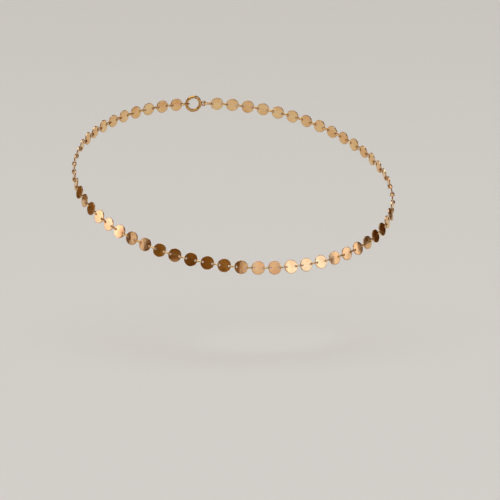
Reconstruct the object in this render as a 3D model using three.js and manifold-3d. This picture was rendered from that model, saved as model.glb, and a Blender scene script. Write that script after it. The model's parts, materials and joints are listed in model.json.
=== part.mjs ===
// Coin choker: small flat gold discs, each pierced twice near its rim, strung side by side on oval wire
// links and closed at the nape by a plain ring clasp. Millimetres, +Z up, the throat towards -Y. The
// origin is the middle of the neck, level with the middle of the loop.
import * as THREE from "three";
import { mergeVertices } from "three/addons/utils/BufferGeometryUtils.js";
import Module from "manifold-3d";

const wasm = await Module();
wasm.setup();
const { degToRad } = THREE.MathUtils;

// The loop as it is worn, measured through the middles of the discs
const LOOP_HALF_WIDTH = 55; // ear to ear
const LOOP_HALF_DEPTH = 52; // throat to nape, seen from above
const LOOP_TILT = degToRad(23.5); // the throat lies lower than the nape
const LOOP_STEPS = 2000; // steps that measure distance along the loop

// Discs
const DISC_COUNT = 61;
const FRONT_COUNT = 21; // discs across the throat, each a piece of its own
const DISC_DIAMETER = 4.5;
const DISC_THICKNESS = 0.4;
const DISC_WEB = 0.3; // metal left between a hole and the rim
const DISC_LEAN = degToRad(10); // the lower edge stands out, as the neck flares towards the shoulders
const DISC_SIDES = 16;
const HIDDEN_SIDES = 12; // the hidden discs are plainer, and their wire fills its hole
const HOLE_DIAMETER = 0.7;
const HOLE_SIDES = 8;

// No two discs lie quite alike on the skin: each rolls about the chain and yaws across it
const LAY_ROLL = degToRad(4);
const LAY_YAW = degToRad(2);
const LAY_ROLL_STEP = 2.4; // radians of phase from one disc to the next
const LAY_YAW_STEP = 4.1;

// Wire links, measured along the middle of the wire
const LINK_WIRE = 0.4;
const LINK_PLAY = 0.15; // clearance between a disc's face and the wire beside it
const LINK_SEAT = 0.05; // how far the wire lies off the middle of its hole, towards the rim
const LINK_SIDES = 10;
const WIRE_SIDES = 5;
const END_LINK_LENGTH = 3.2; // the longer link at each end of the chain

// Ring clasp with a soldered eye
const CLASP_RADIUS = 2.5;
const CLASP_WIRE = 1.1;
const CLASP_SIDES = 16;
const CLASP_WIRE_SIDES = 8;
const EYE_RADIUS = 0.75;
const EYE_WIRE = 0.45;
const EYE_SIDES = 12;
const EYE_WIRE_SIDES = 6;
const EYE_SOLDER = 0.25; // depth of the eye's wire in the ring's

// Sizes that follow
const HOLE_OFFSET = DISC_DIAMETER / 2 - DISC_WEB - HOLE_DIAMETER / 2;
const DISC_REACH = HOLE_OFFSET + LINK_SEAT; // disc centre to the wire in its hole
const LINK_WIDTH = DISC_THICKNESS + 2 * LINK_PLAY + LINK_WIRE;
const END_LINK_WIDTH = CLASP_WIRE + 2 * LINK_PLAY + LINK_WIRE;
const EYE_MIDDLE = CLASP_RADIUS + CLASP_WIRE / 2 + EYE_RADIUS + EYE_WIRE / 2 - EYE_SOLDER;
const RING_SEAT = CLASP_RADIUS - CLASP_WIRE / 2 - LINK_WIRE / 2 - LINK_PLAY; // ring centre to the wire
const CLASP_REACH = (EYE_MIDDLE + LINK_SEAT + RING_SEAT) / 2; // half of what lies between the end links
const LAST_DISC = (DISC_COUNT - 1) / 2;
const LAST_FRONT = (FRONT_COUNT - 1) / 2;

const gold = new THREE.MeshStandardMaterial({
  color: 0xe0a95c,
  metalness: 1,
  roughness: 0.18,
  flatShading: true,
});
const linkGold = new THREE.MeshStandardMaterial({
  color: 0xd39c50,
  metalness: 1,
  roughness: 0.25,
  flatShading: true,
});

// An oval round the neck, lower at the throat. It starts and ends at the nape, passing the -X side first.
class NeckLoop extends THREE.Curve {
  getPoint(t, point = new THREE.Vector3()) {
    const turn = 2 * Math.PI * (t - 0.5);
    const depth = -LOOP_HALF_DEPTH * Math.cos(turn);
    return point.set(LOOP_HALF_WIDTH * Math.sin(turn), depth, depth * Math.tan(LOOP_TILT));
  }
}
const loop = new NeckLoop();
loop.arcLengthDivisions = LOOP_STEPS;
const LOOP_LENGTH = loop.getLength();
const CLASP_SPAN = 2 * (DISC_REACH + END_LINK_LENGTH + CLASP_REACH);
const DISC_PITCH = (LOOP_LENGTH - CLASP_SPAN) / (DISC_COUNT - 1);
const LINK_LENGTH = DISC_PITCH - 2 * DISC_REACH;

// A frame on the loop: x along the chain, y up the neck, z out of it. Distance is from the throat.
function frameAt(distance) {
  const share = 0.5 + distance / LOOP_LENGTH;
  const along = loop.getTangentAt(share);
  const up = new THREE.Vector3(0, 0, 1).addScaledVector(along, -along.z).normalize();
  const out = new THREE.Vector3().crossVectors(along, up);
  return new THREE.Matrix4().makeBasis(along, up, out).setPosition(loop.getPointAt(share));
}

function tilted(frame, lean, yaw) {
  const turn = new THREE.Euler(-lean, yaw, 0);
  return frame.multiply(new THREE.Matrix4().makeRotationFromEuler(turn));
}

// Discs are counted from the throat: 0 is the middle one, and -1 lies beside it on the -X side
function discFrame(place) {
  const roll = LAY_ROLL * Math.sin(LAY_ROLL_STEP * place);
  const yaw = LAY_YAW * Math.sin(LAY_YAW_STEP * place);
  return tilted(frameAt(place * DISC_PITCH), DISC_LEAN + roll, yaw);
}

// A link's frame: x from one seat to the other, z out of the neck midway between its two neighbours
function linkFrame(before, after, reachBefore = DISC_REACH, reachAfter = DISC_REACH) {
  const from = new THREE.Vector3(reachBefore, 0, 0).applyMatrix4(before);
  const to = new THREE.Vector3(-reachAfter, 0, 0).applyMatrix4(after);
  const along = to.clone().sub(from).normalize();
  const out = new THREE.Vector3();
  for (const frame of [before, after]) out.add(new THREE.Vector3().setFromMatrixColumn(frame, 2));
  out.addScaledVector(along, -out.dot(along)).normalize();
  const up = new THREE.Vector3().crossVectors(out, along);
  return new THREE.Matrix4().makeBasis(along, up, out).setPosition(from.add(to).divideScalar(2));
}

function circle(radius, sides, middle = 0) {
  return Array.from({ length: sides }, (_, corner) => {
    const turn = (2 * Math.PI * corner) / sides;
    return new THREE.Vector2(middle + radius * Math.cos(turn), radius * Math.sin(turn));
  });
}

// A flat coin, pierced at the given places along its level diameter
function discGeometry(sides, holes) {
  const outline = new THREE.Shape(circle(DISC_DIAMETER / 2, sides));
  for (const middle of holes) {
    outline.holes.push(new THREE.Path(circle(HOLE_DIAMETER / 2, HOLE_SIDES, middle)));
  }
  const coin = new THREE.ExtrudeGeometry(outline, { depth: DISC_THICKNESS, bevelEnabled: false });
  return coin.translate(0, 0, -DISC_THICKNESS / 2);
}

// A wire ring whose two halves are drawn apart into an oval, standing across the discs that it joins
function linkGeometry(length, width) {
  const bend = width / 2;
  const oval = new THREE.TorusGeometry(bend, LINK_WIRE / 2, WIRE_SIDES, LINK_SIDES).rotateX(Math.PI / 2);
  const position = oval.getAttribute("position");
  for (let corner = 0; corner < position.count; corner += 1) {
    const x = position.getX(corner);
    position.setX(corner, x + Math.sign(x) * (length / 2 - bend));
  }
  return oval;
}

function solidOf(geometry) {
  const bare = geometry.clone().deleteAttribute("normal").deleteAttribute("uv");
  const merged = mergeVertices(bare);
  const vertProperties = merged.getAttribute("position").array;
  const triVerts = Uint32Array.from(merged.index.array);
  return new wasm.Manifold(new wasm.Mesh({ numProp: 3, vertProperties, triVerts }));
}

function geometryOf(solid) {
  const mesh = solid.getMesh();
  return new THREE.BufferGeometry()
    .setAttribute("position", new THREE.BufferAttribute(mesh.vertProperties, 3))
    .setIndex(new THREE.BufferAttribute(mesh.triVerts, 1));
}

function joined(geometries) {
  return geometryOf(geometries.map(solidOf).reduce((whole, piece) => whole.add(piece)));
}

function placed(name, geometry, material, frame) {
  const piece = new THREE.Mesh(geometry, material);
  piece.name = name;
  piece.applyMatrix4(frame);
  return piece;
}

const numbered = (name, number) => `${name}_${String(number).padStart(2, "0")}`;

// The throat: every disc and every link between two of them is free
function throat() {
  const row = new THREE.Group();
  const coin = discGeometry(DISC_SIDES, [-HOLE_OFFSET, HOLE_OFFSET]);
  const oval = linkGeometry(LINK_LENGTH, LINK_WIDTH);
  for (let place = -LAST_FRONT; place <= LAST_FRONT; place += 1) {
    const number = place + LAST_FRONT + 1;
    row.add(placed(numbered("disc", number), coin, gold, discFrame(place)));
    if (place === LAST_FRONT) continue;
    const frame = linkFrame(discFrame(place), discFrame(place + 1));
    row.add(placed(numbered("link", number), oval, linkGold, frame));
  }
  return row;
}

// The clasp lies midway at the nape: its ring holds the -X end link, and its eye the +X one
function claspFrame() {
  return tilted(frameAt(LOOP_LENGTH / 2), DISC_LEAN, 0);
}

function clasp() {
  const ring = new THREE.TorusGeometry(CLASP_RADIUS, CLASP_WIRE / 2, CLASP_WIRE_SIDES, CLASP_SIDES);
  const eye = new THREE.TorusGeometry(EYE_RADIUS, EYE_WIRE / 2, EYE_WIRE_SIDES, EYE_SIDES);
  eye.translate(-EYE_MIDDLE, 0, 0);
  const body = joined([ring, eye]).translate(CLASP_REACH - RING_SEAT, 0, 0);
  return placed("clasp", body, linkGold, claspFrame());
}

// One side of the hidden stretch, from the throat's last disc to the clasp, soldered into one piece
function backChain(name, side) {
  const coin = discGeometry(HIDDEN_SIDES, []);
  const oval = linkGeometry(LINK_LENGTH, LINK_WIDTH);
  const pieces = [];
  const add = (geometry, frame) => pieces.push(geometry.clone().applyMatrix4(frame));
  const link = (here, next) => (side < 0 ? linkFrame(next, here) : linkFrame(here, next));
  for (let step = LAST_FRONT; step < LAST_DISC; step += 1) {
    const next = discFrame(side * (step + 1));
    add(oval, link(discFrame(side * step), next));
    add(coin, next);
  }
  const last = discFrame(side * LAST_DISC);
  const endFrame =
    side < 0
      ? linkFrame(claspFrame(), last, CLASP_REACH, DISC_REACH)
      : linkFrame(last, claspFrame(), DISC_REACH, CLASP_REACH);
  add(linkGeometry(END_LINK_LENGTH, END_LINK_WIDTH), endFrame);
  return placed(name, joined(pieces), gold, new THREE.Matrix4());
}

const choker = new THREE.Group();
choker.add(throat());
choker.add(backChain("back_chain_left", -1));
choker.add(backChain("back_chain_right", 1));
choker.add(clasp());

export default choker;
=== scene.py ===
# %% [markdown]
# A coin choker, from one disc to the whole loop
# The real choker is a row of small flat discs, punched from brass, plated with gold and polished, that lie
# side by side in one close loop. Each disc is pierced at both sides, and a small oval wire link passes
# through the holes of every two neighbours. This lesson models one disc, one link and one clasp with the
# tools that you would use by hand, copies them round the loop, and then gives them metal and light.

# %% Load the frame
import json
import math
from bisect import bisect_right

import bmesh
import bpy
from mathutils import Matrix, Vector

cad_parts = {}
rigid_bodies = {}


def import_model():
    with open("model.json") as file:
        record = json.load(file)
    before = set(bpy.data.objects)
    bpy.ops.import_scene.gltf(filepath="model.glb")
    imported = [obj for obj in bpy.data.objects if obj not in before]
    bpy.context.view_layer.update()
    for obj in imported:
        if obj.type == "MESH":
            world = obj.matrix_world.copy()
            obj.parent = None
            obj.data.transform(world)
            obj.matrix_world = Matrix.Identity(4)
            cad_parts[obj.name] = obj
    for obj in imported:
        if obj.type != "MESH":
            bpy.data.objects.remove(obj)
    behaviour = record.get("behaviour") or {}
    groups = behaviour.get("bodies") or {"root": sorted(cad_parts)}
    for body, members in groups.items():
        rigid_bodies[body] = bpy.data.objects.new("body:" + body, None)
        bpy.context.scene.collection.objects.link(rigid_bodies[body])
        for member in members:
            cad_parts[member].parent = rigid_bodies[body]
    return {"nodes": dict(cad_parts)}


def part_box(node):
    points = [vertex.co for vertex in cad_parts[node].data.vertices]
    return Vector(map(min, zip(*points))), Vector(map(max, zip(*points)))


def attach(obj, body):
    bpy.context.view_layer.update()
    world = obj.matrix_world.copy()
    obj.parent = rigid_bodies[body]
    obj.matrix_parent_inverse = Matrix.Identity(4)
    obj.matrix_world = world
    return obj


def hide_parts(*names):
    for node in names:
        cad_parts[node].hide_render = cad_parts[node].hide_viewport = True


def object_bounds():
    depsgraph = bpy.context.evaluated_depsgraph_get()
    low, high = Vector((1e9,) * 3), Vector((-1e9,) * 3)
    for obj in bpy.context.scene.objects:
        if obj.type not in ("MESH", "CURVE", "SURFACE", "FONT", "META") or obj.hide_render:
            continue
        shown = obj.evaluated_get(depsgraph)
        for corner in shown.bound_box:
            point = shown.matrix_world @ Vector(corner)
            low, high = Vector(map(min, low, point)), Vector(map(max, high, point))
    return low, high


MM = 0.001  # every size below is a number of millimetres, turned to metres

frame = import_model()
cad_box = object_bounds()
scene = bpy.context.scene


def in_mm(sizes):
    return [round(size / MM, 1) for size in sizes]


print(len(frame["nodes"]), "solids in a box of", in_mm(cad_box[1] - cad_box[0]), "mm")

# %% [markdown]
# Sizes
# Only a few sizes drive the choker: the oval that it makes when it is worn, the disc, the wire of the links
# and the ring of the clasp. The spacing of the discs follows from them, as it does at the bench, where the
# links are cut so that a set number of discs makes a choker of a given length.

# %% Sizes of the loop and its discs
LOOP_HALF_WIDTH = 55 * MM  # from the middle of the loop to the discs at its sides
LOOP_HALF_DEPTH = 52 * MM  # and to those at its front and back, seen from above
LOOP_TILT = math.radians(23.5)  # the front lies lower than the back

DISC_COUNT = 61
FRONT_COUNT = 21  # discs across the front, each a piece of its own
DISC_RADIUS = 2.25 * MM
DISC_THICKNESS = 0.4 * MM
DISC_LEAN = math.radians(10)  # the lower edge stands out, as on a worn choker
HOLE_RADIUS = 0.35 * MM
HOLE_WEB = 0.3 * MM  # metal left between a hole and the rim
HOLE_OFFSET = DISC_RADIUS - HOLE_WEB - HOLE_RADIUS
LAST_DISC = (DISC_COUNT - 1) // 2
LAST_FRONT = (FRONT_COUNT - 1) // 2
print(f"{DISC_COUNT} discs {2 * DISC_RADIUS / MM} mm across, holes {HOLE_OFFSET / MM:.2f} mm off centre")

# %% Sizes of the links
LINK_WIRE = 0.4 * MM
LINK_PLAY = 0.15 * MM  # clearance between a disc's face and the wire beside it
LINK_SEAT = 0.05 * MM  # how far the wire lies off the middle of its hole, towards the rim
LINK_WIDTH = DISC_THICKNESS + 2 * LINK_PLAY + LINK_WIRE
DISC_REACH = HOLE_OFFSET + LINK_SEAT  # disc centre to the wire in its hole
print(f"links {LINK_WIDTH / MM:.2f} mm wide, of wire {LINK_WIRE / MM} mm thick")

# %% Sizes of the clasp and its end links
CLASP_RADIUS = 2.5 * MM
CLASP_WIRE = 1.1 * MM
EYE_RADIUS = 0.75 * MM
EYE_WIRE = 0.45 * MM
EYE_SOLDER = 0.25 * MM  # depth of the eye's wire in the ring's
END_LINK_LENGTH = 3.2 * MM
END_LINK_WIDTH = CLASP_WIRE + 2 * LINK_PLAY + LINK_WIRE
EYE_MIDDLE = CLASP_RADIUS + CLASP_WIRE / 2 + EYE_RADIUS + EYE_WIRE / 2 - EYE_SOLDER
RING_SEAT = CLASP_RADIUS - CLASP_WIRE / 2 - LINK_WIRE / 2 - LINK_PLAY  # ring centre to the end link's wire
CLASP_REACH = (EYE_MIDDLE + LINK_SEAT + RING_SEAT) / 2  # half of what lies between the end links
print(f"clasp {2 * CLASP_REACH / MM:.2f} mm long from end link to end link")

# %% [markdown]
# The loop
# A worn choker is an oval that tips forward. We could lay the discs along a curve object with an Array
# modifier, but then every disc would bend with the curve. A formula gives each disc its own flat place
# instead. The oval is walked once in small steps, so that equal distances along the chain become equal
# spacing.

# %% Walk the oval
LOOP_STEPS = 2000


def oval_point(turn):
    depth = -LOOP_HALF_DEPTH * math.cos(turn)
    return Vector((LOOP_HALF_WIDTH * math.sin(turn), depth, depth * math.tan(LOOP_TILT)))


def oval_direction(turn):
    depth = LOOP_HALF_DEPTH * math.sin(turn)
    return Vector((LOOP_HALF_WIDTH * math.cos(turn), depth, depth * math.tan(LOOP_TILT))).normalized()


turns = [2 * math.pi * (step / LOOP_STEPS - 0.5) for step in range(LOOP_STEPS + 1)]
walked = [0.0]
for here, following in zip(turns, turns[1:]):
    walked.append(walked[-1] + (oval_point(following) - oval_point(here)).length)
LOOP_LENGTH = walked[-1]
DISC_PITCH = (LOOP_LENGTH - 2 * (DISC_REACH + END_LINK_LENGTH + CLASP_REACH)) / (DISC_COUNT - 1)
LINK_LENGTH = DISC_PITCH - 2 * DISC_REACH
print(f"loop {LOOP_LENGTH / MM:.1f} mm, one disc every {DISC_PITCH / MM:.2f} mm")


# %% A place on the oval
def turn_at(distance):
    """The oval's turn at a distance along the chain from the middle of the front."""
    goal = LOOP_LENGTH / 2 + distance
    step = min(bisect_right(walked, goal), LOOP_STEPS) - 1
    share = (goal - walked[step]) / (walked[step + 1] - walked[step])
    return turns[step] + share * (turns[step + 1] - turns[step])


def place_at(distance, lean, yaw=0.0):
    """x runs along the chain, y up across it and z out of the loop, then leaned back and yawed."""
    turn = turn_at(distance)
    along = oval_direction(turn)
    up = (Vector((0, 0, 1)) - along * along.z).normalized()
    place = Matrix((along, up, along.cross(up))).transposed().to_4x4()
    place.translation = oval_point(turn)
    return place @ Matrix.Rotation(-lean, 4, "X") @ Matrix.Rotation(yaw, 4, "Y")


print("middle of the front at", in_mm(oval_point(turn_at(0))), "mm")

# %% [markdown]
# How the discs lie
# No two discs of a worn choker lie quite alike: each rolls a little about the chain and yaws a little
# across it. Random numbers would do, but two sine waves with uneven steps look as loose and stay the same
# each time. The links follow: each one runs from the hole of one disc to the hole of the next.

# %% Places of the discs
LAY_ROLL = math.radians(4)
LAY_YAW = math.radians(2)
LAY_ROLL_STEP = 2.4  # radians of phase from one disc to the next
LAY_YAW_STEP = 4.1


def disc_place(number):
    """Discs are counted from the front: 0 is the middle one, and -1 lies beside it on the -X side."""
    roll = LAY_ROLL * math.sin(LAY_ROLL_STEP * number)
    yaw = LAY_YAW * math.sin(LAY_YAW_STEP * number)
    return place_at(number * DISC_PITCH, DISC_LEAN + roll, yaw)


def drift(number):
    """How far the formula's disc lies from its solid."""
    low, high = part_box(f"disc_{number + LAST_FRONT + 1:02d}")
    return ((low + high) / 2 - disc_place(number).translation).length


front_numbers = range(-LAST_FRONT, LAST_FRONT + 1)
print(f"the formula and the solids agree to {max(map(drift, front_numbers)) / MM:.3f} mm")


# %% Places of the links
def link_place(before, after, reach_before=DISC_REACH, reach_after=DISC_REACH):
    """x runs from one seat of the wire to the other, z out of the loop between the two neighbours."""
    start = before @ Vector((reach_before, 0, 0))
    end = after @ Vector((-reach_after, 0, 0))
    along = (end - start).normalized()
    out = before.col[2].to_3d() + after.col[2].to_3d()
    out = (out - along * out.dot(along)).normalized()
    place = Matrix((along, out.cross(along), out)).transposed().to_4x4()
    place.translation = (start + end) / 2
    return place


print("link beside the middle disc at", in_mm(link_place(disc_place(0), disc_place(1)).translation), "mm")

# %% [markdown]
# Working as by hand, without a window
# Every operator acts on what is selected. Each step below therefore makes one object the only selected
# one, and then picks its faces, edges or corners by where they are or which way they face.


# %% Selecting in code
def only(piece):
    bpy.ops.object.select_all(action="DESELECT")
    piece.select_set(True)
    bpy.context.view_layer.objects.active = piece


def edit(piece):
    only(piece)
    bpy.ops.object.mode_set(mode="EDIT")


def pick(piece, kind, test):
    """In edit mode, selects the corners, edges or faces that pass a test, and nothing else."""
    bpy.ops.mesh.select_mode(type=kind)
    bpy.ops.mesh.select_all(action="DESELECT")
    mesh = bmesh.from_edit_mesh(piece.data)
    items = {"VERT": mesh.verts, "EDGE": mesh.edges, "FACE": mesh.faces}[kind]
    chosen = [item for item in items if test(item)]
    for item in chosen:
        item.select_set(True)
    mesh.select_flush_mode()
    bmesh.update_edit_mesh(piece.data)


print("selected before the first step:", len(bpy.context.selected_objects), "objects")

# %% Cleaning up in code
TOUCHING = 0.001 * MM  # corners nearer than this count as one


def merge_doubles():
    bpy.ops.mesh.select_all(action="SELECT")
    bpy.ops.mesh.remove_doubles(threshold=TOUCHING)


def finish_edit():
    """Merges doubles, turns every face outwards and goes back to object mode."""
    merge_doubles()
    bpy.ops.mesh.normals_make_consistent(inside=False)
    bpy.ops.object.mode_set(mode="OBJECT")


print(f"corners nearer than {TOUCHING / MM:.3f} mm are merged")

# %% [markdown]
# The disc
# A punched disc isn't a plain cylinder. The punch rounds its rim, and the tumbling that polishes it leaves
# both faces with a very slight crown, which is why a disc catches the light a little differently across
# its face. We start from a cylinder, bevel the rim, and raise the crown by insetting each face a few times,
# a little higher each time. A sculpted dome would also do, but the insets keep clean rings, and they leave
# a wide band where the holes can be cut.

# %% Crown
RIM_ROUND = 0.09 * MM
CROWN = 0.035 * MM
CROWN_RINGS = [2.09 * MM, 0.93 * MM, 0.5 * MM, 0.2 * MM]  # none of them crosses a hole
LEVEL = 0.995  # how squarely a face looks up or down to count as level


def crown_height(radius):
    return CROWN * (1 - (radius / (DISC_RADIUS - RIM_ROUND)) ** 2)


def raise_crown(blank, side):
    pick(blank, "FACE", lambda face: face.normal.z * side > LEVEL)
    radius = DISC_RADIUS - RIM_ROUND
    for ring in CROWN_RINGS:
        bpy.ops.mesh.inset(thickness=radius - ring, depth=crown_height(ring) - crown_height(radius))
        radius = ring
    bpy.ops.mesh.poke()


print(f"each face rises {CROWN / MM:.3f} mm from its rim to its middle")

# %% Blank
RIM_SIDES = 72
RIM_STEPS = 4
ROUND_PROFILE = 0.5  # a bevel of this profile is part of a circle


def punch_blank():
    bpy.ops.object.select_all(action="DESELECT")
    bpy.ops.mesh.primitive_cylinder_add(vertices=RIM_SIDES, radius=DISC_RADIUS, depth=DISC_THICKNESS)
    blank = bpy.context.object
    blank.name = "disc_model"
    edit(blank)
    pick(blank, "EDGE", lambda edge: abs(edge.verts[0].co.z - edge.verts[1].co.z) < TOUCHING)
    bpy.ops.mesh.bevel(offset=RIM_ROUND, segments=RIM_STEPS, profile=ROUND_PROFILE)
    raise_crown(blank, -1)
    raise_crown(blank, 1)
    finish_edit()
    return blank


disc = punch_blank()
print("disc blank:", len(disc.data.polygons), "faces,", in_mm(disc.dimensions), "mm")

# %% [markdown]
# Shading
# A polished face shows every flat facet. Many more faces would hide that, but sixty discs of them would be
# heavy. Smooth shading blends the facets across edges that turn only a little, and a Weighted Normal
# modifier lets the broad faces decide which way the surface looks, so that the narrow bevel at the rim
# takes up the whole bend. A whole copy of the blank is kept for the next step.

# %% Shade the blank
SOFT_EDGE = math.radians(50)  # edges that turn less than this are blended
BROAD_WEIGHT = 80  # over 50, broad faces count for more than narrow ones


def apply_modifier(piece, kind, **settings):
    only(piece)
    modifier = piece.modifiers.new(kind.lower(), kind)
    for key, value in settings.items():
        setattr(modifier, key, value)
    bpy.ops.object.modifier_apply(modifier=modifier.name)


def shade(piece):
    only(piece)
    bpy.ops.object.shade_smooth_by_angle(angle=SOFT_EDGE)
    apply_modifier(
        piece, "WEIGHTED_NORMAL", mode="FACE_AREA_WITH_ANGLE", weight=BROAD_WEIGHT, keep_sharp=True
    )


shade(disc)
whole_disc = bpy.data.objects.new("whole_disc", disc.data.copy())
scene.collection.objects.link(whole_disc)
print("normals set by the broad faces:", disc.data.has_custom_normals)

# %% [markdown]
# The two holes
# A small punch pierces the real disc, and the tumbling rounds the edges of the holes. A Boolean with two
# pegs cuts them cleanly. The edge of each hole is then found by its place, where a level face meets the
# hole's wall, and is bevelled. The cut leaves long thin faces, which would shade in streaks, so the level
# faces take their normals from the copy of the blank that was kept whole.

# %% Pierce the disc
HOLE_SIDES = 32
PEG_LENGTH = 4 * DISC_THICKNESS  # long enough to stand out of both faces


def pierce(blank, middle):
    bpy.ops.object.select_all(action="DESELECT")
    bpy.ops.mesh.primitive_cylinder_add(
        vertices=HOLE_SIDES, radius=HOLE_RADIUS, depth=PEG_LENGTH, location=(middle, 0, 0)
    )
    peg = bpy.context.object
    apply_modifier(blank, "BOOLEAN", operation="DIFFERENCE", solver="EXACT", object=peg)
    bpy.data.objects.remove(peg)


pierce(disc, -HOLE_OFFSET)
pierce(disc, HOLE_OFFSET)
print("pierced disc:", len(disc.data.polygons), "faces")

# %% Round the edges of the holes
HOLE_ROUND = 0.05 * MM
HOLE_STEPS = 2
NEAR = 0.02 * MM  # a corner this close to a hole's circle lies on it
UPRIGHT = 0.3  # a face that looks up or down less than this is a wall


def on_hole_edge(edge):
    for corner in edge.verts:
        from_middle = math.hypot(abs(corner.co.x) - HOLE_OFFSET, corner.co.y)
        if abs(from_middle - HOLE_RADIUS) > NEAR:
            return False
    levels = sorted(abs(face.normal.z) for face in edge.link_faces)
    return levels[0] < UPRIGHT and levels[-1] > LEVEL


edit(disc)
merge_doubles()
pick(disc, "EDGE", on_hole_edge)
bpy.ops.mesh.bevel(offset=HOLE_ROUND, segments=HOLE_STEPS, profile=ROUND_PROFILE)
finish_edit()
print("disc with rounded holes:", len(disc.data.polygons), "faces")


# %% Shade the pierced disc
def copy_normals(whole, pierced):
    """The level faces of the pierced disc get the smooth shading of the whole blank."""
    edit(pierced)
    pick(pierced, "FACE", lambda face: abs(face.normal.z) > LEVEL)
    bpy.ops.object.vertex_group_assign_new()
    bpy.ops.object.mode_set(mode="OBJECT")
    apply_modifier(
        pierced, "DATA_TRANSFER", object=whole, use_loop_data=True, data_types_loops={"CUSTOM_NORMAL"},
        loop_mapping="POLYINTERP_NEAREST", vertex_group=pierced.vertex_groups.active.name,
    )
    pierced.vertex_groups.clear()


def triangles(piece):
    return sum(len(face.vertices) - 2 for face in piece.data.polygons)


shade(disc)
copy_normals(whole_disc, disc)
bpy.data.objects.remove(whole_disc)
print("finished disc:", triangles(disc), "triangles")

# %% [markdown]
# A map on the disc
# Wear on a disc follows its shape: grime gathers at the rim, and round the holes the brown is partly grime
# and partly painted shade. A second material on those faces would end at a hard line. A UV map that looks
# at the disc square on lets one metal find those places and fade towards them, wherever the disc is on the
# loop.
# This map counts metres from the disc's middle.


# %% Flat map
def map_flat(piece):
    layer = piece.data.uv_layers.active
    layer.name = "face"
    for loop in piece.data.loops:
        layer.uv[loop.index].vector = piece.data.vertices[loop.vertex_index].co.xy


map_flat(disc)
map_reach = max(spot.vector.length for spot in disc.data.uv_layers["face"].uv)
print(f"the map reaches {map_reach / MM:.2f} mm from the middle")

# %% [markdown]
# The link
# A link is a piece of round wire, bent into an oval and soldered shut. A curve with a round bevel would
# also do, but a torus is closed already, and brings a map that runs along the wire and round it. Its two
# halves are drawn apart until the straight sides have their length. The solder leaves the wire a little
# thicker at the join, which lies on the inner side of the choker.


# %% A map along the wire
def map_wire(piece, length, girth):
    """Stretches the map of a new primitive, so that it counts metres along the wire and round it."""
    layer = piece.data.uv_layers.active
    layer.name = "wire"
    for spot in layer.uv:
        spot.vector = (spot.vector.x * length, spot.vector.y * girth)


print(f"once round the link's wire is {math.pi * LINK_WIRE / MM:.2f} mm")

# %% Oval link
LINK_SIDES = 28
WIRE_SIDES = 12
SOLDER_SWELL = 1.18  # the wire is this much thicker at the join


def oval_link(name, length, width):
    bend = width / 2
    bpy.ops.object.select_all(action="DESELECT")
    bpy.ops.mesh.primitive_torus_add(
        major_radius=bend, minor_radius=LINK_WIRE / 2, major_segments=LINK_SIDES, minor_segments=WIRE_SIDES
    )
    oval = bpy.context.object
    oval.name = name
    map_wire(oval, 2 * (length - width) + math.pi * width, math.pi * LINK_WIRE)
    edit(oval)
    bpy.ops.mesh.select_all(action="SELECT")
    bpy.ops.transform.rotate(value=math.pi / 2, orient_axis="X", center_override=(0, 0, 0))
    for side in (-1, 1):
        pick(oval, "VERT", lambda corner: corner.co.x * side > TOUCHING)
        bpy.ops.transform.translate(value=(side * (length / 2 - bend), 0, 0))
    pick(oval, "VERT", lambda corner: abs(corner.co.x) < TOUCHING and corner.co.z < 0)
    bpy.ops.transform.resize(value=(1, SOLDER_SWELL, SOLDER_SWELL), center_override=(0, 0, -bend))
    finish_edit()
    shade(oval)
    return oval


link = oval_link("link_model", LINK_LENGTH, LINK_WIDTH)
end_link = oval_link("end_link_model", END_LINK_LENGTH, END_LINK_WIDTH)
print("link:", triangles(link), "triangles,", in_mm(link.dimensions), "mm")

# %% [markdown]
# The clasp
# The clasp at the back is a plain ring of thicker wire with a small eye soldered to it. Two tori pushed
# into each other would look much the same, but would keep faces inside. Boolean unions with a bead of
# solder make one closed surface instead, with the small swelling that a soldered joint has.

# %% Ring and eye
RING_SIDES = 64
RING_WIRE_SIDES = 20
EYE_SIDES = 40
EYE_WIRE_SIDES = 14


def wire_ring(name, middle, radius, wire, sides, wire_sides):
    bpy.ops.object.select_all(action="DESELECT")
    bpy.ops.mesh.primitive_torus_add(
        location=(middle, 0, 0), major_radius=radius, minor_radius=wire / 2,
        major_segments=sides, minor_segments=wire_sides,
    )
    ring = bpy.context.object
    ring.name = name
    bpy.ops.object.transform_apply(location=True)
    map_wire(ring, 2 * math.pi * radius, math.pi * wire)
    return ring


ring_middle = CLASP_REACH - RING_SEAT
eye_middle = ring_middle - EYE_MIDDLE
clasp = wire_ring("clasp_model", ring_middle, CLASP_RADIUS, CLASP_WIRE, RING_SIDES, RING_WIRE_SIDES)
eye = wire_ring("eye_model", eye_middle, EYE_RADIUS, EYE_WIRE, EYE_SIDES, EYE_WIRE_SIDES)
print("ring", in_mm(clasp.dimensions), "mm, eye", in_mm(eye.dimensions), "mm")

# %% Solder
BEAD_RADIUS = 0.42 * MM
BEAD_SIDES = 24
BEAD_RINGS = 14


def solder_bead(middle):
    bpy.ops.object.select_all(action="DESELECT")
    bpy.ops.mesh.primitive_uv_sphere_add(
        radius=BEAD_RADIUS, location=(middle, 0, 0), segments=BEAD_SIDES, ring_count=BEAD_RINGS
    )
    bead = bpy.context.object
    map_wire(bead, 2 * math.pi * BEAD_RADIUS, math.pi * BEAD_RADIUS)
    return bead


bead = solder_bead(eye_middle + EYE_RADIUS + EYE_WIRE / 2)
for part in (eye, bead):
    apply_modifier(clasp, "BOOLEAN", operation="UNION", solver="EXACT", object=part)
    bpy.data.objects.remove(part)
edit(clasp)
finish_edit()
shade(clasp)
print("clasp:", triangles(clasp), "triangles,", in_mm(clasp.dimensions), "mm")

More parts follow.
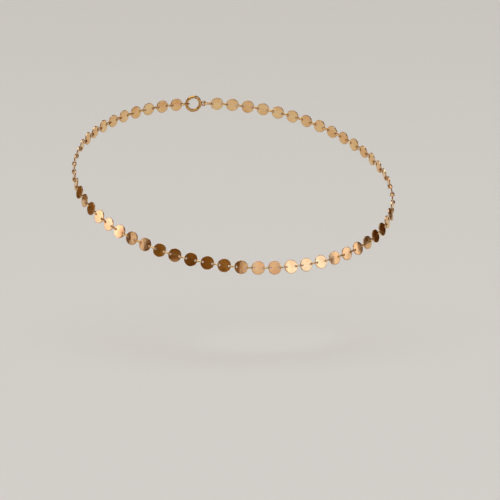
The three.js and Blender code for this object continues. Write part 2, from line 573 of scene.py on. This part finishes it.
# %% [markdown]
# Nodes in code
# A metal's colour is the colour of its reflections, so its base colour stays light. The dark discs in the
# row are dark only because they mirror a dim part of the room. Colours are written as sRGB hex, as a colour
# picker shows them, and one function turns them to the linear values that shaders take. Object coordinates
# and both maps count metres, so a pattern's scale is simply how often its size fits into one metre.


# %% Colours, scales and nodes
def linear(hex_colour):
    """Turns a hex colour to linear red, green, blue and an alpha of one."""
    shares = [int(hex_colour[start:start + 2], 16) / 255 for start in (0, 2, 4)]
    return [s / 12.92 if s <= 0.04045 else ((s + 0.055) / 1.055) ** 2.4 for s in shares] + [1.0]


def per_metre(size):
    return 1 / size


def add_node(tree, kind, inputs=None, **settings):
    """Adds a node. Settings are its own properties, and inputs are values, or sockets to link."""
    node = tree.nodes.new(kind)
    for key, value in settings.items():
        setattr(node, key, value)
    for key, value in (inputs or {}).items():
        if isinstance(value, bpy.types.NodeSocket):
            tree.links.new(value, node.inputs[key])
        else:
            node.inputs[key].default_value = value
    return node


def new_material(name):
    material = bpy.data.materials.new(name)
    material.use_nodes = True
    material.node_tree.nodes.clear()
    return material


print("middle grey in linear light:", round(linear("808080")[0], 3))

# %% [markdown]
# Gold plate on punched brass
# The discs are punched from thin brass, plated with gold and tumbled in steel shot, which leaves a mirror
# with a very slight waviness. Pure gold would be yellower: this plate has the pale, slightly rosy tone of
# a lower carat. One even gold would be quicker, but it looks like a computer's mirror. Here the tone drifts
# where the plate is thinner, grime stays in a thin brown line at the rim, a brown round the holes is partly
# grime and partly painted shade, and wear leaves hairlines. Every disc carries a number of its own, so that
# no two have the same hairlines.

# %% Where the rim and the holes are
RIM_GRIME = 3 * RIM_ROUND  # how far in from the rim the grime reaches
# round the holes the brown is partly grime and partly painted shade, darkening the holes where shade falls
HOLE_GRIME_AND_SHADE = 0.25 * MM  # and how far from the edge of a hole


def rim_and_holes(tree, flat):
    """Two masks on the disc's map: one rises over the rounded rim, the other towards the holes."""
    from_middle = add_node(tree, "ShaderNodeVectorMath", {0: flat}, operation="LENGTH")
    rim = add_node(
        tree, "ShaderNodeMapRange",
        {
            "Value": from_middle.outputs["Value"],
            "From Min": DISC_RADIUS - RIM_GRIME,
            "From Max": DISC_RADIUS - RIM_ROUND / 2,
        },
        interpolation_type="SMOOTHSTEP",
    )
    mirrored = add_node(tree, "ShaderNodeVectorMath", {0: flat}, operation="ABSOLUTE")
    from_hole = add_node(
        tree, "ShaderNodeVectorMath",
        {0: mirrored.outputs["Vector"], 1: (HOLE_OFFSET, 0, 0)}, operation="DISTANCE",
    )
    holes = add_node(
        tree, "ShaderNodeMapRange",
        {
            "Value": from_hole.outputs["Value"],
            "From Min": HOLE_RADIUS + HOLE_GRIME_AND_SHADE,
            "From Max": HOLE_RADIUS + HOLE_ROUND / 2,
        },
        interpolation_type="SMOOTHSTEP",
    )
    return rim.outputs["Result"], holes.outputs["Result"]


print(f"grime reaches {RIM_GRIME / MM:.2f} mm in from the rim and {HOLE_GRIME_AND_SHADE / MM:.2f} mm from the holes")

# %% Tone of the plate
PLATE_PALE = "FBD8A2"
PLATE_ROSY = "F1C088"
TONE_SIZE = 5 * MM
NOISE_LOW = 0.35  # a noise node seldom leaves the span between these two
NOISE_HIGH = 0.65


def plate_tone(tree, spot):
    """Pale gold that drifts to rosy gold where the plate is thinner."""
    thickness = add_node(
        tree, "ShaderNodeTexNoise", {"Vector": spot, "Scale": per_metre(TONE_SIZE), "Detail": 2.0}
    )
    thinner = add_node(
        tree, "ShaderNodeMapRange",
        {"Value": thickness.outputs["Fac"], "From Min": NOISE_LOW, "From Max": NOISE_HIGH},
    )
    tone = add_node(
        tree, "ShaderNodeMix",
        {"Factor": thinner.outputs["Result"], "A": linear(PLATE_PALE), "B": linear(PLATE_ROSY)},
        data_type="RGBA",
    )
    return tone.outputs["Result"]


print(f"tone drifts over {TONE_SIZE / MM:.1f} mm")

# %% Grime, and painted shade round the holes
# one brown for the grime at the rim and for the painted shade round the holes
PLATE_GRIME_AND_SHADE = "8A5A26"
GRIME_SIZE = 0.6 * MM
GRIME_LEAST = 0.25  # even a clean stretch of the rim keeps this much
GRIME_MOST = 0.85


def plate_colour(tree, spot, rim, holes):
    """The plate's tone, browned in patches: grime along the rim, grime and painted shade round the holes.
    """
    patches = add_node(
        tree, "ShaderNodeTexNoise", {"Vector": spot, "Scale": per_metre(GRIME_SIZE), "Detail": 3.0}
    )
    patchy = add_node(
        tree, "ShaderNodeMapRange",
        {
            "Value": patches.outputs["Fac"], "From Min": NOISE_LOW, "From Max": NOISE_HIGH,
            "To Min": GRIME_LEAST, "To Max": GRIME_MOST,
        },
    )
    edges = add_node(tree, "ShaderNodeMath", {0: rim, 1: holes}, operation="MAXIMUM")
    # painted shade: round the holes this brown is partly grime and partly painted shade
    grime_and_shade = add_node(
        tree, "ShaderNodeMath",
        {0: edges.outputs["Value"], 1: patchy.outputs["Result"]}, operation="MULTIPLY",
    )
    colour = add_node(
        tree, "ShaderNodeMix",
        {"Factor": grime_and_shade.outputs["Value"], "A": plate_tone(tree, spot), "B": linear(PLATE_GRIME_AND_SHADE)},
        data_type="RGBA",
    )
    return colour.outputs["Result"]


print(f"patches of grime about {GRIME_SIZE / MM:.1f} mm wide")

# %% Hairlines
HAIRLINE_WIDTH = 0.09 * MM  # real ones are finer: drawn this coarse so that they show
HAIRLINE_LENGTH = 3 * MM
HAIRLINE_FROM = 0.67  # the noise that begins a hairline, and the noise at its middle
HAIRLINE_FULL = 0.8
LOT_SHIFT = (80 * MM, 140 * MM, 0)  # each disc's number takes it to another place in the noise


def hairlines(tree, flat, lot, turn):
    """Thin straight marks that run one way, different on every disc."""
    shifted = add_node(
        tree, "ShaderNodeVectorMath", {0: lot, 1: LOT_SHIFT, 2: flat}, operation="MULTIPLY_ADD"
    )
    angle = add_node(tree, "ShaderNodeMath", {0: lot, 1: 2 * math.pi, 2: turn}, operation="MULTIPLY_ADD")
    turned = add_node(
        tree, "ShaderNodeVectorRotate",
        {"Vector": shifted.outputs["Vector"], "Angle": angle.outputs["Value"]}, rotation_type="Z_AXIS",
    )
    stretch = (per_metre(HAIRLINE_LENGTH), per_metre(HAIRLINE_WIDTH), 1)
    drawn_out = add_node(tree, "ShaderNodeMapping", {"Vector": turned.outputs["Vector"], "Scale": stretch})
    streaks = add_node(
        tree, "ShaderNodeTexNoise", {"Vector": drawn_out.outputs["Vector"], "Scale": 1.0, "Detail": 1.0}
    )
    marks = add_node(
        tree, "ShaderNodeMapRange",
        {"Value": streaks.outputs["Fac"], "From Min": HAIRLINE_FROM, "From Max": HAIRLINE_FULL},
    )
    return marks.outputs["Result"]


print(f"hairlines {HAIRLINE_LENGTH / MM:.1f} mm long and {HAIRLINE_WIDTH / MM:.2f} mm wide")

# %% Crossed hairlines
HAIRLINE_TURNS = (0.0, 0.5, 1.9)  # the ways in which they run, in radians


def crossed_hairlines(tree, flat, lot, rim):
    """Hairlines that run a few ways and stop short of the rim."""
    crossed = 0.0
    for turn in HAIRLINE_TURNS:
        lines = hairlines(tree, flat, lot, turn)
        crossing = add_node(tree, "ShaderNodeMath", {0: crossed, 1: lines}, operation="MAXIMUM")
        crossed = crossing.outputs["Value"]
    inside = add_node(tree, "ShaderNodeMath", {0: crossed, 1: rim}, operation="SUBTRACT", use_clamp=True)
    return inside.outputs["Value"]


print("hairlines run", len(HAIRLINE_TURNS), "ways on each disc")

# %% Shine of the plate
SMUDGE_SIZE = 1.6 * MM  # touch leaves smudges about this wide
PLATE_SHINY = 0.07
PLATE_SMUDGED = 0.15
PLATE_SCRATCHED = 0.06  # what a hairline adds to the roughness


def plate_roughness(tree, spot, lines):
    """Almost a mirror, softer where it was touched and along the hairlines."""
    smudges = add_node(
        tree, "ShaderNodeTexNoise", {"Vector": spot, "Scale": per_metre(SMUDGE_SIZE), "Detail": 3.0}
    )
    smudged = add_node(
        tree, "ShaderNodeMapRange",
        {
            "Value": smudges.outputs["Fac"], "From Min": NOISE_LOW, "From Max": NOISE_HIGH,
            "To Min": PLATE_SHINY, "To Max": PLATE_SMUDGED,
        },
    )
    roughness = add_node(
        tree, "ShaderNodeMath",
        {0: lines, 1: PLATE_SCRATCHED, 2: smudged.outputs["Result"]}, operation="MULTIPLY_ADD",
    )
    return roughness.outputs["Value"]


print(f"roughness {PLATE_SHINY} to {PLATE_SMUDGED}, and {PLATE_SCRATCHED} more along a hairline")

# %% Relief of the plate
WAVE_SIZE = 1.8 * MM  # tumbling leaves the face faintly wavy
WAVE_DEPTH = 0.02 * MM
HAIRLINE_DEPTH = 0.0006 * MM


def plate_relief(tree, spot, lines):
    """Faint waves that bend what the disc mirrors, with the hairlines cut into them."""
    waves = add_node(
        tree, "ShaderNodeTexNoise", {"Vector": spot, "Scale": per_metre(WAVE_SIZE), "Detail": 1.0}
    )
    wavy = add_node(tree, "ShaderNodeBump", {"Height": waves.outputs["Fac"], "Distance": WAVE_DEPTH})
    scored = add_node(
        tree, "ShaderNodeBump",
        {"Height": lines, "Distance": HAIRLINE_DEPTH, "Normal": wavy.outputs["Normal"]}, invert=True,
    )
    return scored.outputs["Normal"]


print(f"waves {WAVE_SIZE / MM:.1f} mm wide and {WAVE_DEPTH / MM:.2f} mm deep")


# %% The disc's finish
def punched_plate():
    """A mirror of pale gold: soft smudges, waves and hairlines break up what it reflects."""
    material = new_material("gold_plated_brass_punched_tumbled")
    tree = material.node_tree
    spot = add_node(tree, "ShaderNodeTexCoord").outputs["Object"]
    flat = add_node(tree, "ShaderNodeUVMap", uv_map="face").outputs["UV"]
    lot = add_node(tree, "ShaderNodeAttribute", attribute_name="lot").outputs["Fac"]
    rim, holes = rim_and_holes(tree, flat)
    lines = crossed_hairlines(tree, flat, lot, rim)
    shader = add_node(
        tree, "ShaderNodeBsdfPrincipled",
        {
            "Base Color": plate_colour(tree, spot, rim, holes),
            "Metallic": 1.0,
            "Roughness": plate_roughness(tree, spot, lines),
            "Normal": plate_relief(tree, spot, lines),
        },
    )
    add_node(tree, "ShaderNodeOutputMaterial", {"Surface": shader.outputs["BSDF"]})
    return material


disc_gold = punched_plate()
disc.data.materials.append(disc_gold)
print(disc_gold.name, len(disc_gold.node_tree.nodes), "nodes")

# %% [markdown]
# Gold plate on drawn wire
# Wire is pulled through a round die, which leaves fine lines along it. Its gold is painted browner than the
# discs, in patches, as painted shade on links that lie in shade between the discs. Anisotropic shading
# would also give a drawn look, but only at a distance, and here the lines are near enough to see. The map
# runs along the wire and round it, so they follow every bend.

# %% Painted shade on the wire
WIRE_PALE = "E9BF7D"
# painted shade: the links are drawn this brown because they lie in shade between the discs
WIRE_SHADE_BROWN = "A8753A"
BROWN_SIZE = 0.7 * MM


def shaded_wire_colour(tree, spot):
    """Gold painted browner in patches, as painted shade on the links."""
    patches = add_node(
        tree, "ShaderNodeTexNoise", {"Vector": spot, "Scale": per_metre(BROWN_SIZE), "Detail": 3.0}
    )
    shade_patches = add_node(
        tree, "ShaderNodeMapRange",
        {"Value": patches.outputs["Fac"], "From Min": NOISE_LOW, "From Max": NOISE_HIGH},
    )
    colour = add_node(
        tree, "ShaderNodeMix",
        {"Factor": shade_patches.outputs["Result"], "A": linear(WIRE_PALE), "B": linear(WIRE_SHADE_BROWN)},
        data_type="RGBA",
    )
    return colour.outputs["Result"]


print(f"brown patches about {BROWN_SIZE / MM:.1f} mm wide")

# %% Draw lines
DRAW_LINE = 0.1 * MM  # real draw lines are finer: drawn this coarse so that they show
DRAW_LENGTH = 2 * MM


def draw_lines(tree):
    """Streaks that run along the wire, however it is bent."""
    wire = add_node(tree, "ShaderNodeUVMap", uv_map="wire").outputs["UV"]
    stretch = (per_metre(DRAW_LENGTH), per_metre(DRAW_LINE), 1)
    drawn_out = add_node(tree, "ShaderNodeMapping", {"Vector": wire, "Scale": stretch})
    streaks = add_node(
        tree, "ShaderNodeTexNoise", {"Vector": drawn_out.outputs["Vector"], "Scale": 1.0, "Detail": 2.0}
    )
    return streaks.outputs["Fac"]


print(f"draw lines {DRAW_LENGTH / MM:.1f} mm long and {DRAW_LINE / MM:.1f} mm wide")

# %% The wire's finish
DRAW_DEPTH = 0.002 * MM
WIRE_SHINY = 0.18
WIRE_DULL = 0.32


def drawn_plate():
    """A softer shine than the discs have, streaked along the wire, and browner in patches as painted shade.
    """
    material = new_material("gold_plated_brass_drawn_wire")
    tree = material.node_tree
    spot = add_node(tree, "ShaderNodeTexCoord").outputs["Object"]
    streaks = draw_lines(tree)
    roughness = add_node(
        tree, "ShaderNodeMapRange",
        {
            "Value": streaks, "From Min": NOISE_LOW, "From Max": NOISE_HIGH,
            "To Min": WIRE_SHINY, "To Max": WIRE_DULL,
        },
    )
    lined = add_node(tree, "ShaderNodeBump", {"Height": streaks, "Distance": DRAW_DEPTH})
    shader = add_node(
        tree, "ShaderNodeBsdfPrincipled",
        {
            "Base Color": shaded_wire_colour(tree, spot),
            "Metallic": 1.0,
            "Roughness": roughness.outputs["Result"],
            "Normal": lined.outputs["Normal"],
        },
    )
    add_node(tree, "ShaderNodeOutputMaterial", {"Surface": shader.outputs["BSDF"]})
    return material


wire_gold = drawn_plate()
for model in (link, end_link, clasp):
    model.data.materials.append(wire_gold)
print(wire_gold.name, len(wire_gold.node_tree.nodes), "nodes")

# %% [markdown]
# Stringing the choker
# Each disc and link across the front is a piece of its own, as it is on the real chain. The stretch round
# the back is joined into one piece on each side. Linked copies would be lighter, but here a copy gets its
# own mesh, and its place goes into that mesh, so that every object stays at the origin. The number that
# sets one disc's hairlines apart from the next is kept in the mesh too, as an attribute called lot.

# %% The front of the chain
GOLDEN_SHARE = 0.618  # steps of this share of a turn give every disc a number of its own


def strung(model, name, place, number):
    piece = bpy.data.objects.new(name, model.data.copy())
    piece.data.transform(place)
    lot = piece.data.attributes.new("lot", "FLOAT", "POINT")
    lot.data.foreach_set("value", [number * GOLDEN_SHARE % 1] * len(lot.data))
    scene.collection.objects.link(piece)
    return piece


def belongs(piece, node):
    """Puts a piece on the root body and hides the solid that it stands for."""
    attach(piece, "root")
    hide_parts(node)


for number in front_numbers:
    node = f"disc_{number + LAST_FRONT + 1:02d}"
    belongs(strung(disc, "gold_" + node, disc_place(number), number), node)
for number in front_numbers[:-1]:
    node = f"link_{number + LAST_FRONT + 1:02d}"
    place = link_place(disc_place(number), disc_place(number + 1))
    belongs(strung(link, "gold_" + node, place, number), node)
print("front:", FRONT_COUNT, "discs and", FRONT_COUNT - 1, "links")

# %% The clasp and the back of the chain
clasp_place = place_at(LOOP_LENGTH / 2, DISC_LEAN)
belongs(strung(clasp, "gold_clasp", clasp_place, LAST_DISC), "clasp")


def back_chain(node, side):
    """The discs and links from the front to the clasp. On the -X side, each pair is met in reverse."""
    parts = []
    for step in range(LAST_FRONT, LAST_DISC):
        number = side * (step + 1)
        ends = [disc_place(side * step), disc_place(number)]
        parts.append(strung(link, node, link_place(*ends[::side]), number))
        parts.append(strung(disc, node, ends[1], number))
    ends = [disc_place(side * LAST_DISC), clasp_place]
    reaches = [DISC_REACH, CLASP_REACH]
    parts.append(strung(end_link, node, link_place(*ends[::side], *reaches[::side]), side))
    only(parts[-1])
    for part in parts:
        part.select_set(True)
    bpy.ops.object.join()
    parts[-1].name = "gold_" + node
    return parts[-1]


for node, side in (("back_chain_left", -1), ("back_chain_right", 1)):
    chain = back_chain(node, side)
    belongs(chain, node)
    print(chain.name, triangles(chain), "triangles")
for model in (disc, link, end_link, clasp):
    bpy.data.objects.remove(model)

# %% [markdown]
# The floor
# A sheet of pale matt paper lies under the choker, as in a small photo studio. A square plane would also
# do, but a round sheet ends at the same distance on every side, so no corner shows when the camera is low.

# %% Floor
FLOOR_GAP = 30 * MM  # the choker keeps its worn form in the air, just over the floor
FLOOR_RADIUS = 2.5  # metres, so that its edge lies just past the top of the picture
FLOOR_SIDES = 96
FLOOR_PALE = "E2DDD6"
FLOOR_MATT = 0.95  # roughness


def pale_floor():
    """Matt paper: one even pale tone with no gloss, so that only the choker shines."""
    bpy.ops.object.select_all(action="DESELECT")
    bpy.ops.mesh.primitive_circle_add(
        vertices=FLOOR_SIDES, radius=FLOOR_RADIUS, fill_type="NGON",
        location=(0, 0, cad_box[0].z - FLOOR_GAP),
    )
    floor = bpy.context.object
    floor.name = "floor"
    paper = new_material("matt_paper")
    shader = add_node(
        paper.node_tree, "ShaderNodeBsdfPrincipled",
        {"Base Color": linear(FLOOR_PALE), "Roughness": FLOOR_MATT, "Specular IOR Level": 0.0},
    )
    add_node(paper.node_tree, "ShaderNodeOutputMaterial", {"Surface": shader.outputs["BSDF"]})
    floor.data.materials.append(paper)


pale_floor()
print(f"floor {FLOOR_GAP / MM:.0f} mm below the lowest disc")

# %% [markdown]
# The softboxes
# Jewellers light polished metal by what it mirrors. Under an even sky every disc would look the same. Here
# big softboxes stand low round the choker, where the upright discs look. Between them the room stays dim,
# so that some discs shine and their neighbours go deep brown. A disc that looks 20 degrees aside from the
# camera mirrors what stands 40 degrees aside, so the angles of a box choose the discs that shine in it.
# Lights of one even brightness would do, but the discs would then look flat. A real softbox is brighter in
# the middle, where its lamp stands.

# %% The cloth of a softbox
CLOTH_CORNER = 0.5  # how bright a corner is, where the middle is 1
CLOTH_MIDDLE = (0.5, 0.5, 0)  # on the cloth's own map, which runs from 0 to 1 each way


def light_cloth(light):
    """The lamp stands behind the middle of the cloth, so the cloth fades towards its corners."""
    light.use_nodes = True
    tree = light.node_tree
    tree.nodes.clear()
    cloth = add_node(tree, "ShaderNodeNewGeometry").outputs["Parametric"]
    from_middle = add_node(tree, "ShaderNodeVectorMath", {0: cloth, 1: CLOTH_MIDDLE}, operation="DISTANCE")
    fade = add_node(
        tree, "ShaderNodeMapRange",
        {
            "Value": from_middle.outputs["Value"], "From Max": Vector(CLOTH_MIDDLE).length,
            "To Min": 1.0, "To Max": CLOTH_CORNER,
        },
        interpolation_type="SMOOTHSTEP",
    )
    shine = add_node(tree, "ShaderNodeEmission", {"Strength": fade.outputs["Result"]})
    add_node(tree, "ShaderNodeOutputLight", {"Surface": shine.outputs["Emission"]})


print(f"the cloth's corners have {CLOTH_CORNER:.0%} of its light")

# %% Angles seen from the choker
SOFTBOX_DISTANCE = 1.6  # metres


def from_choker(azimuth, elevation):
    """A direction out from the choker. Azimuth 0 is straight in front of it, 90 on its +X side."""
    level = math.cos(math.radians(elevation))
    turn = math.radians(azimuth)
    return Vector((math.sin(turn) * level, -math.cos(turn) * level, math.sin(math.radians(elevation))))


def spread(angles):
    """The width, at the softboxes' distance, that fills the angle between two directions."""
    return 2 * SOFTBOX_DISTANCE * math.tan(math.radians(angles[1] - angles[0]) / 2)


print(f"a softbox {spread((0, 30)):.2f} m wide fills 30 degrees")


# %% Softboxes
def softbox(name, azimuths, elevations, radiance, colour):
    """A soft light that fills the given angles, in degrees, seen from the choker."""
    light = bpy.data.lights.new(name, "AREA")
    light.shape = "RECTANGLE"
    light.size = spread(azimuths)
    light.size_y = spread(elevations)
    light.energy = radiance * math.pi * light.size * light.size_y
    light.color = linear(colour)[:3]
    light_cloth(light)
    lamp = bpy.data.objects.new(name, light)
    towards = from_choker(sum(azimuths) / 2, sum(elevations) / 2)
    lamp.location = towards * SOFTBOX_DISTANCE
    lamp.rotation_euler = towards.to_track_quat("Z", "Y").to_euler()
    lamp.visible_camera = False
    scene.collection.objects.link(lamp)
    print(f"{name}: {light.size:.2f} by {light.size_y:.2f} m")
    return lamp


softbox("key_box", azimuths=(20, 51), elevations=(-2, 26), radiance=2.1, colour="D6E4FF")
softbox("fill_box", azimuths=(-8, 22), elevations=(0, 26), radiance=0.82, colour="F4F4FF")
softbox("side_box", azimuths=(53, 75.5), elevations=(0, 26), radiance=1.5, colour="FFF8FF")
softbox("left_box", azimuths=(-116, -87.5), elevations=(-2, 30), radiance=2.3, colour="EEE2F2")
softbox("left_glow", azimuths=(-79.5, -74), elevations=(0, 26), radiance=0.9, colour="F4F4FF")

# %% [markdown]
# The light behind
# Seen from behind, the discs at the back would mirror only the dim room, so one more softbox stands there.
# It would also whiten a strip of the paper. In a studio, a black board between the lamp and the paper would
# stop that. Light linking does the same here: this softbox shines on the choker and nothing else.

# %% Back box
choker = bpy.data.collections.new("choker")
for piece in scene.objects:
    if piece.name.startswith("gold_"):
        choker.objects.link(piece)

back_box = softbox("back_box", azimuths=(160, 196), elevations=(-2, 26), radiance=1.8, colour="E6EEFF")
back_box.light_linking.receiver_collection = choker

# %% [markdown]
# The high light
# A wide soft light from above keeps the paper pale and even. An area light overhead would also do, but it
# fades towards the far end of the floor. A sun with a wide angle lights all of it alike.

# %% High light
HIGH_STRENGTH = 2.4
HIGH_SPREAD = math.radians(60)  # as wide as a big cloth overhead, so that no shadow has an edge
HIGH_TILT = (math.radians(8), math.radians(-10), 0)
HIGH_TINT = "EAF7FF"

sun = bpy.data.lights.new("high_light", "SUN")
sun.energy = HIGH_STRENGTH
sun.angle = HIGH_SPREAD
sun.color = linear(HIGH_TINT)[:3]
sun_lamp = bpy.data.objects.new("high_light", sun)
sun_lamp.rotation_euler = HIGH_TILT
scene.collection.objects.link(sun_lamp)

# %% [markdown]
# The room
# What the discs mirror between the softboxes is the room: dim, warm and uneven, as walls with things on
# them are, and darker on the +X side. Walls could be modelled, but the world's background does the same for
# nothing. The camera itself sees a room as pale as the far end of the floor, so that the picture stays
# plain from every side.

# %% Walls
ROOM_DIM = "8E6B3A"
ROOM_DARK = "4C2E0E"
ROOM_PATCH = 0.1  # width of a dark patch, as a share of the distance to the wall
ROOM_LAYOUT = 5.0  # another number lays the patches out another way
DARK_FROM = 0.3  # how far towards +X the walls begin to darken, and where they are darkest
DARK_FULL = 0.95


def uneven_walls(tree):
    """Dim warm walls with dark patches on them. On the world, Generated is the direction looked in."""
    towards = add_node(tree, "ShaderNodeTexCoord").outputs["Generated"]
    sides = add_node(tree, "ShaderNodeSeparateXYZ", {"Vector": towards})
    side = add_node(
        tree, "ShaderNodeMapRange",
        {"Value": sides.outputs["X"], "From Min": DARK_FROM, "From Max": DARK_FULL},
    )
    patches = add_node(
        tree, "ShaderNodeTexNoise",
        {"Vector": towards, "Scale": 1 / ROOM_PATCH, "Detail": 2.0, "W": ROOM_LAYOUT},
        noise_dimensions="4D",
    )
    patchy = add_node(
        tree, "ShaderNodeMapRange",
        {"Value": patches.outputs["Fac"], "From Min": NOISE_LOW, "From Max": NOISE_HIGH},
    )
    darkness = add_node(
        tree, "ShaderNodeMath",
        {0: side.outputs["Result"], 1: patchy.outputs["Result"]}, operation="ADD", use_clamp=True,
    )
    walls = add_node(
        tree, "ShaderNodeMix",
        {"Factor": darkness.outputs["Value"], "A": linear(ROOM_DIM), "B": linear(ROOM_DARK)},
        data_type="RGBA",
    )
    return walls.outputs["Result"]


print(f"wall patches about {math.degrees(ROOM_PATCH):.0f} degrees wide")

# %% Room
ROOM_PALE = "CAC6BF"

world = bpy.data.worlds.new("room")
scene.world = world
world.use_nodes = True
room = world.node_tree
room.nodes.clear()
rays = add_node(room, "ShaderNodeLightPath")
seen = add_node(
    room, "ShaderNodeMix",
    {"Factor": rays.outputs["Is Camera Ray"], "A": uneven_walls(room), "B": linear(ROOM_PALE)},
    data_type="RGBA",
)
glow = add_node(room, "ShaderNodeBackground", {"Color": seen.outputs["Result"]})
add_node(room, "ShaderNodeOutputWorld", {"Surface": glow.outputs["Background"]})
print("room:", len(room.nodes), "nodes")

# %% [markdown]
# The camera
# The picture is taken from a little above the choker and a little to the -X side. A short lens close by
# would fit the choker into the frame too, but would make the near discs much larger than the far ones. A
# long lens from a metre away keeps them nearly the same size.

# %% Camera
CAMERA_AZIMUTH = -15.3
CAMERA_ELEVATION = 7.9
CAMERA_DISTANCE = 1.0  # metres
CAMERA_LENS = 208.2  # millimetres, as lenses are named
CAMERA_AIM = Vector((5.8, 0, -23.9)) * MM
CAMERA_REACH = (0.05, 60)  # nearest and farthest metres that it draws

lens = bpy.data.cameras.new("camera")
lens.lens = CAMERA_LENS
lens.clip_start, lens.clip_end = CAMERA_REACH
camera = bpy.data.objects.new("camera", lens)
towards = from_choker(CAMERA_AZIMUTH, CAMERA_ELEVATION)
camera.location = CAMERA_AIM + towards * CAMERA_DISTANCE
camera.rotation_euler = towards.to_track_quat("Z", "Y").to_euler()
scene.collection.objects.link(camera)
scene.camera = camera
scene.view_settings.view_transform = "Standard"
print("camera at", in_mm(camera.location), "mm")
